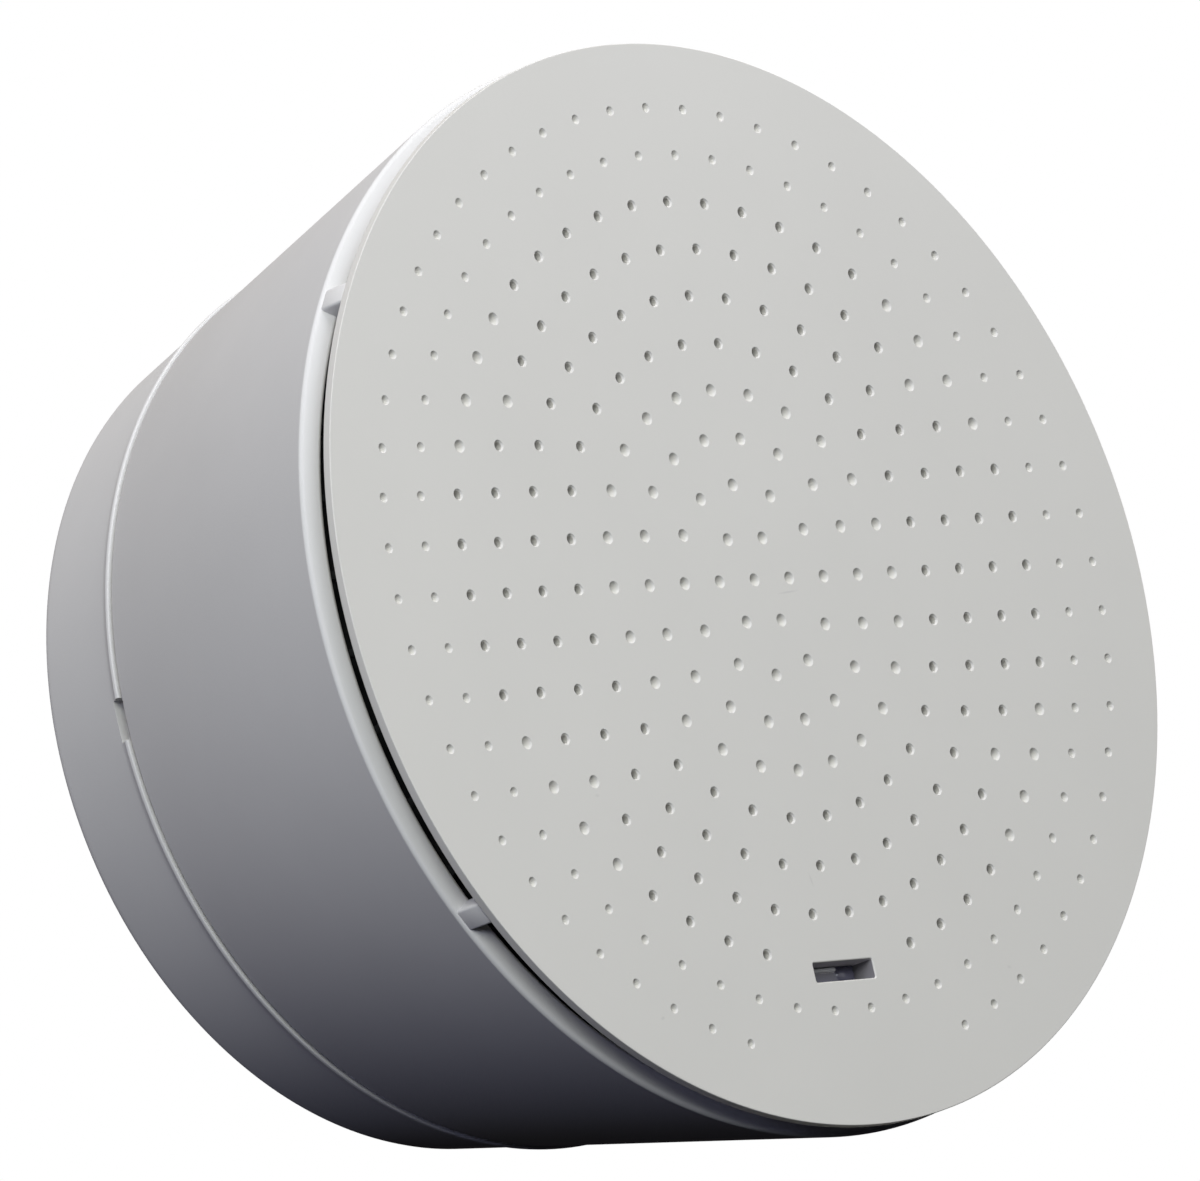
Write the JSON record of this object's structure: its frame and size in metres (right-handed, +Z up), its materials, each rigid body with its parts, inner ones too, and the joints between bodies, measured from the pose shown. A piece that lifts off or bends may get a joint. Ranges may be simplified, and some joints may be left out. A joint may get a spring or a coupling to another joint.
{
  "type": "wireless alarm siren",
  "caption": "Round wall siren: a tapered drum with a floating perforated face, a lit window, and a sounder and cells inside.",
  "frame": {"origin": "centre of the back face of the wall base, on the wall plane", "axes": "+Y into the wall, so the face looks along -Y; +Z up; +X to the right as seen from the front"},
  "size_m": [0.1094, 0.0566, 0.1094],
  "materials": {
    "white_plastic": "fine matt moulded white",
    "face_plastic": "fine matt moulded warm white",
    "smoked_acrylic": "dark glossy clear acrylic",
    "screw_steel": "zinc plated",
    "lamp_white": "white lamp case",
    "board_green": "green solder mask",
    "tinned_steel": "tinned sheet",
    "antenna_sleeve": "grey wire sleeve",
    "black_resin": "moulded black resin",
    "capacitor_sleeve": "dark blue sleeve",
    "transformer_wrap": "yellow tape over ferrite",
    "white_nylon": "natural nylon",
    "red_sleeve": "red wire sleeve",
    "black_sleeve": "black wire sleeve",
    "black_plastic": "matt black",
    "gasket_rubber": "closed-cell foam",
    "brass": "rolled brass",
    "ceramic": "silvered ceramic",
    "spring_nickel": "nickel plated",
    "red_plastic": "red button",
    "cell_sleeve": "plain sleeve"
  },
  "bodies": {
    "siren": {"wall_base": "white_plastic", "housing": "white_plastic", "face_plate": "face_plastic", "face_screws": "screw_steel", "board_screws": "screw_steel", "sounder_screws": "screw_steel", "light_guide": "smoked_acrylic", "status_led": "lamp_white", "main_board": "board_green", "radio_board": "board_green", "radio_shield": "tinned_steel", "antenna_wire": "antenna_sleeve", "microcontroller": "black_resin", "capacitor_large": "capacitor_sleeve", "capacitor_small": "capacitor_sleeve", "drive_transformer": "transformer_wrap", "sounder_connector": "white_nylon", "sounder_wire_red": "red_sleeve", "sounder_wire_black": "black_sleeve", "sounder_body": "black_plastic", "sounder_cap": "black_plastic", "sounder_gasket": "gasket_rubber", "brass_disc": "brass", "ceramic_disc": "ceramic", "battery_tray": "black_plastic", "contact_positive": "spring_nickel", "contact_link_upper": "spring_nickel", "contact_link_lower": "spring_nickel", "contact_negative": "spring_nickel", "tamper_switch": "black_plastic", "learn_switch": "black_plastic", "battery_cell_1": "cell_sleeve", "battery_cell_2": "cell_sleeve", "battery_cell_3": "cell_sleeve"},
    "tamper_stem": {"tamper_plunger": "white_nylon"},
    "learn_stem": {"learn_button": "red_plastic"}
  },
  "joints": [
    {"name": "tamper_press", "type": "slide", "parent": "siren", "child": "tamper_stem", "axis": [0, -1, 0], "range_m": [0, 0.0005], "stiffness_N_per_m": 1500},
    {"name": "learn_press", "type": "slide", "parent": "siren", "child": "learn_stem", "axis": [0, -1, 0], "range_m": [0, 0.0005], "stiffness_N_per_m": 3000}
  ]
}
